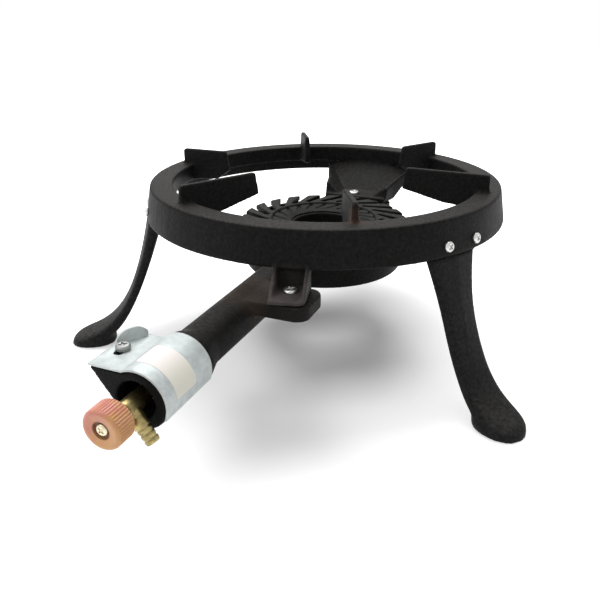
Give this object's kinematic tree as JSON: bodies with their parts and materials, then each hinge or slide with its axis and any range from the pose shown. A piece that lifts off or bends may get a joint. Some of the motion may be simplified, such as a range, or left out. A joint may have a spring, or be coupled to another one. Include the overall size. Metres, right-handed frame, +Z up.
{
  "type": "gas boiling ring",
  "caption": "Free-standing cast-iron gas ring for a stock pot: finned ring on splayed legs, drum burner with slanted ports, mixing tube with air shutter, and a tap with a hose nozzle.",
  "frame": {"origin": "on the floor, under the middle of the ring", "axes": "+Z up, +Y away from the tap along the mixing tube, +X to the right as seen from the tap"},
  "size_m": [0.3978, 0.5504, 0.1569],
  "materials": {
    "cast_iron_black": "matte black baked coating over a rough casting",
    "screw_zinc": "bright zinc plate",
    "shutter_sheet": "zinc-plated sheet, cool grey and satin",
    "brass": "dull turned brass",
    "knob_plastic": "salmon-red moulded plastic with fine ribs",
    "seal_rubber": "black nitrile",
    "label_paper": "blank cream paper label on the shutter, without print"
  },
  "bodies": {
    "stand": {"pot_ring": "cast_iron_black", "leg_right": "cast_iron_black", "leg_left": "cast_iron_black", "leg_rear": "cast_iron_black", "leg_screws": "screw_zinc", "leg_washers": "screw_zinc", "leg_nuts": "screw_zinc", "burner_body": "cast_iron_black", "burner_cap": "cast_iron_black", "front_burner_screw": "screw_zinc", "rear_burner_screw": "screw_zinc", "burner_nuts": "screw_zinc", "shutter_screw": "screw_zinc", "shutter_washer": "screw_zinc", "tap_body": "brass", "tap_locknuts": "brass", "injector": "brass", "hose_nozzle": "brass", "gland_nut": "brass"},
    "shutter": {"air_shutter": "shutter_sheet"},
    "tap_knob": {"knob": "knob_plastic", "spindle": "brass", "spindle_oring": "seal_rubber", "knob_screw": "screw_zinc"}
  },
  "joints": [
    {"name": "shutter_slide", "type": "slide", "parent": "stand", "child": "shutter", "axis": [0, 1, 0], "range_m": [0, 0.0045]},
    {"name": "knob_turn", "type": "hinge", "parent": "stand", "child": "tap_knob", "pos_m": [0, -0.318, 0.0835], "axis": [0, -1, 0], "range_deg": [0, 540]}
  ]
}
